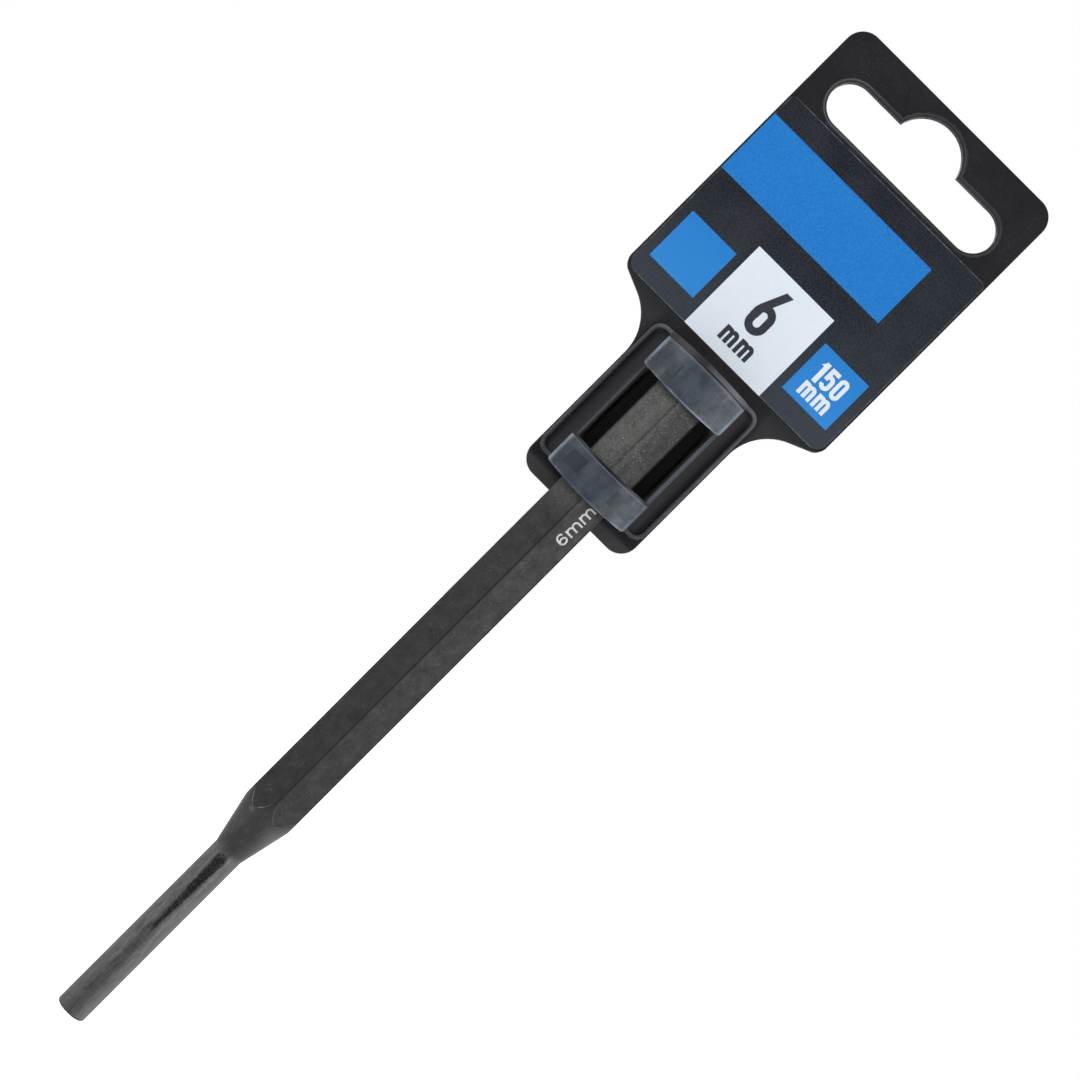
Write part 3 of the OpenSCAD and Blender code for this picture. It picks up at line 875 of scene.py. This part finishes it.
# Figures drawn with a flat pen. A glyph is a list of strokes in mm from its lower left corner:
# "ring" closes on itself, "pen" is cut square to its line, "level" is cut along the line of writing.

def stadium(centreX, low, high, radius):
    return (arcPoints((centreX, high - radius), radius, 0, 180, 14) +
            arcPoints((centreX, low + radius), radius, 180, 360, 14))


def boldSix(width, height, pen):
    edge = pen / 2
    bowl = stadium(width / 2, edge, height * 0.627 - edge, width / 2 - edge)
    shares = ((0.0, 0.30), (0.01, 0.44), (0.07, 0.53), (0.17, 0.63))
    stem = [(edge + width * u, height * v) for u, v in shares] + [(width * 0.70, height)]
    return [("ring", bowl, pen), ("level", stem, pen * 1.1)]


def roundSix(width, height, pen):
    edge = pen / 2
    bowl = stadium(width / 2, edge, height * 0.64 - edge, width / 2 - edge)
    stem = [(edge, height * 0.33), (edge, height * 0.55)]
    stem += arcPoints((width * 0.54, height * 0.60), width * 0.54 - edge, 180, 120, 5)
    stem += arcPoints((width * 0.52, height - edge - width * 0.37), width * 0.37, 105, 25, 8)
    return [("ring", bowl, pen), ("pen", stem, pen)]


def letterM(width, height, pen):
    gap = (width - pen) / 2
    rise = height - pen / 2 - gap / 2
    strokes = [("pen", [(pen / 2, 0), (pen / 2, height)], pen)]
    for start in (pen / 2, pen / 2 + gap):
        arch = arcPoints((start + gap / 2, rise), gap / 2, 180, 0, 12)
        strokes.append(("pen", arch + [(start + gap, 0)], pen))
    return strokes


def figureOne(width, height, pen):
    stem = width - pen / 2
    return [("pen", [(stem, 0), (stem, height)], pen),
            ("level", [(pen * 0.42, height * 0.76), (stem - pen * 0.1, height * 0.92)], pen * 0.85)]


def figureFive(width, height, pen):
    radius = width / 2 - pen / 2
    bowl = arcPoints((width / 2, height * 0.47), radius, 165, 0, 12)
    bowl += arcPoints((width / 2, pen / 2 + radius), radius, 0, -175, 12)
    return [("pen", [(pen * 0.55, height - pen / 2), (width * 0.94, height - pen / 2)], pen),
            ("pen", [(pen * 0.62, height), (pen * 0.55, height * 0.42)], pen), ("pen", bowl, pen)]


def figureZero(width, height, pen):
    return [("ring", stadium(width / 2, pen / 2, height - pen / 2, width / 2 - pen / 2), pen)]


def strokeSides(kind, points, pen):
    left, right = [], []
    last = len(points) - 1
    for index, (u, v) in enumerate(points):
        if kind == "ring":
            before, after = points[index - 1], points[(index + 1) % len(points)]
        else:
            before, after = points[max(index - 1, 0)], points[min(index + 1, last)]
        du, dv = after[0] - before[0], after[1] - before[1]
        size = math.hypot(du, dv) or 1.0
        across = (-dv / size, du / size) if kind != "level" else (-1.0, 0.0)
        left.append((u + across[0] * pen / 2, v + across[1] * pen / 2))
        right.append((u - across[0] * pen / 2, v - across[1] * pen / 2))
    return left, right


def writeFigures(name, glyphs, start, place, near, far, material, body):
    shape = bmesh.new()
    for strokes, offset in glyphs:
        for order, (kind, points, pen) in enumerate(strokes):
            lift = order * meshing["strokeLift"]
            sides = [[shape.verts.new(place(start[0] + offset + u, start[1] + v, depth)) for u, v in line]
                     for depth in (near, far + lift) for line in strokeSides(kind, points, pen)]
            lowLeft, lowRight, topLeft, topRight = sides
            count = len(points)
            for i in range(count) if kind == "ring" else range(1, count):
                j = i - 1
                for quad in ((lowLeft[j], lowLeft[i], lowRight[i], lowRight[j]),
                             (topLeft[j], topRight[j], topRight[i], topLeft[i]),
                             (lowLeft[j], topLeft[j], topLeft[i], lowLeft[i]),
                             (lowRight[j], lowRight[i], topRight[i], topRight[j])):
                    shape.faces.new(quad)
            if kind != "ring":
                for i in (0, count - 1):
                    shape.faces.new((lowLeft[i], lowRight[i], topRight[i], topLeft[i]))
    finishPiece(name, shape, material, body, smooth=False)


def inRow(*placed):  # glyph, width, height, pen and offset, in mm
    return [(glyph(width, height, pen), offset) for glyph, width, height, pen, offset in placed]


figures = {  # glyphs, x where they start, drop from the label's upper edge to their foot, ink
    "print_six": (inRow((boldSix, 4.35, 9.65, 1.45, 0.0)), -2.15, 35.05, "black"),
    "print_six_unit": (inRow((letterM, 3.15, 2.95, 0.78, 0.0), (letterM, 3.15, 2.95, 0.78, 3.6)),
                       -3.4, 39.3, "black"),
    "print_length": (inRow((figureOne, 1.45, 4.25, 0.92, 0.0), (figureFive, 2.15, 4.25, 0.80, 1.85),
                           (figureZero, 2.0, 4.25, 0.76, 4.35)), 13.1, 33.1, "white"),
    "print_length_unit": (inRow((letterM, 2.95, 2.75, 0.74, 0.0), (letterM, 2.95, 2.75, 0.74, 3.35)),
                          13.1, 36.35, "white"),
}
for name, (glyphs, startX, drop, ink) in figures.items():
    under = labelFront + label["ink"]
    writeFigures(name, glyphs, (startX, labelTop - drop), standing, under - meshing["overlap"],
                 under + label["overInk"], inks[ink], "hanger")
print("label done")


# Size mark etched on the right front flat of the shank, read from the tip towards the struck end

mark = {
    "fromHead": 34.1, "aside": 0.1, "sink": 0.005, "depth": 0.012, "flatAngle": 30,
    "height": 2.35, "xHeight": 1.82, "pen": 0.35, "sixWidth": 1.75, "emWidth": 2.8, "gap": 0.42,
    "tone": (0.44, 0.44, 0.44), "pale": (0.62, 0.62, 0.62),
}


def etchedMark():
    material, shader, place = startMaterial("etchedMark", roughness=0.55, metallic=0.2)
    paint(shader, blend(ramp(noise(place, 3.5), 0.35, 0.65), mark["tone"], mark["pale"]))
    bump(shader, noise(place, 9.0), 0.3, 0.02)
    return material


def buildMark():
    m = mark
    angle = math.radians(m["flatAngle"])
    normal = Vector((math.sin(angle), -math.cos(angle), 0))
    leftward = Vector((-math.cos(angle), -math.sin(angle), 0))
    headCentre = Vector((0, axisY, punchHigh.z))

    def onFlat(u, v, depth):
        outward = normal * (punch["flatsHalf"] + depth) * mm
        return tuple(headCentre + outward + leftward * v * mm + Vector((0, 0, u * mm)))

    firstM = m["sixWidth"] + m["gap"]
    glyphs = inRow((roundSix, m["sixWidth"], m["height"], m["pen"], 0.0),
                   (letterM, m["emWidth"], m["xHeight"], m["pen"], firstM),
                   (letterM, m["emWidth"], m["xHeight"], m["pen"], firstM + m["emWidth"] + m["gap"]))
    start = (-m["fromHead"], -m["height"] / 2 - m["aside"])
    writeFigures("etched_size_mark", glyphs, start, onFlat, -m["sink"], m["depth"], etchedMark(), "punch")


buildMark()
print("size mark done")


# Studio: white surroundings, soft lamps, pale floor and the camera. Distances are in metres.

studio = {
    "floorDrop": 0.045, "floorRadius": 3.0, "floorSides": 96, "floorTone": (0.88, 0.88, 0.88),
    "floorLift": 0.60, "farLift": 0.85, "nearRadius": 0.2, "farRadius": 0.75,
    "worldLight": 0.33, "frontGloss": 0.10, "sideGloss": 0.85,
    "distance": 0.400, "height": -0.0945, "roll": 45.0, "lens": 76.5, "sensor": 36.0,
    "lampTarget": (0, 0, -0.09),
    "lamps": {  # place, size and power
        "key": ((0.80, -0.62, 0.10), (0.5, 0.5), 5.1),
        "fill": ((-0.78, -0.66, 0.30), (0.5, 0.5), 4.2),
        "back": ((0.0, 0.9, 0.3), (0.8, 0.5), 4.5),
    },
}


def buildWorld():
    world = bpy.data.worlds.new("studioWorld")
    bpy.context.scene.world = world
    world.use_nodes = True
    tree = world.node_tree
    background = tree.nodes["Background"]
    feed(background.inputs["Color"], (1, 1, 1))
    paths = addNode(tree, "ShaderNodeLightPath").outputs
    towards = axes(addNode(tree, "ShaderNodeTexCoord").outputs["Generated"])[1]
    # Reflections see the white surroundings at the sides and behind, and the dim side where the camera stands
    gloss = ramp(towards, -1.0, -0.1, studio["frontGloss"], studio["sideGloss"])
    level = plus(times(paths["Is Glossy Ray"], minus(gloss, studio["worldLight"])), studio["worldLight"])
    seen = larger(paths["Is Camera Ray"], paths["Is Transmission Ray"])
    feed(background.inputs["Strength"], larger(level, seen))


def softLamp(name, place, size, power):
    data = bpy.data.lights.new(name, "AREA")
    data.shape = "RECTANGLE"
    data.size, data.size_y = size
    data.energy = power
    lamp = addObject(name, data)
    lamp.location = place
    lamp.rotation_euler = (Vector(studio["lampTarget"]) - Vector(place)).to_track_quat("-Z", "Y").to_euler()


def buildFloor():
    shape = bmesh.new()
    bmesh.ops.create_circle(shape, cap_ends=True, segments=studio["floorSides"], radius=studio["floorRadius"],
                            matrix=Matrix.Translation((0, 0, punchLow.z - studio["floorDrop"])))
    mesh = bpy.data.meshes.new("studio_floor")
    shape.to_mesh(mesh)
    shape.free()
    floor = addObject("studio_floor", mesh)
    material, shader, place = startMaterial("paleFloor", roughness=0.9, specular=0.1)
    tree = material.node_tree
    paint(shader, studio["floorTone"])
    # Lifted for the camera alone, so that the floor is white and its shadow still shows
    x, y, _ = axes(place)
    lift = ramp(diagonal(x, y), toMm(studio["nearRadius"]), toMm(studio["farRadius"]),
                studio["floorLift"], studio["farLift"])
    seen = addNode(tree, "ShaderNodeLightPath").outputs["Is Camera Ray"]
    glow = addNode(tree, "ShaderNodeEmission", inputs={"Strength": times(seen, lift)})
    both = addNode(tree, "ShaderNodeAddShader", inputs={0: shader.outputs[0], 1: glow.outputs[0]})
    feed(tree.nodes["Material Output"].inputs["Surface"], both.outputs[0])
    mesh.materials.append(material)


def buildCamera():
    data = bpy.data.cameras.new("camera")
    data.lens = studio["lens"]
    data.sensor_width = studio["sensor"]
    camera = addObject("camera", data)
    angle = math.radians(90 - studio["roll"])
    right = Vector((math.cos(angle), 0, math.sin(angle)))
    up = Vector((-math.sin(angle), 0, math.cos(angle)))
    turn = Matrix((right, up, right.cross(up))).transposed().to_4x4()
    front = -card["thickness"] * mm
    camera.matrix_world = Matrix.Translation((0, front - studio["distance"], studio["height"])) @ turn
    bpy.context.scene.camera = camera


buildWorld()
buildFloor()
for name, (place, size, power) in studio["lamps"].items():
    softLamp(name, place, size, power)
buildCamera()
bpy.context.scene.view_settings.view_transform = "Standard"
print("studio done")
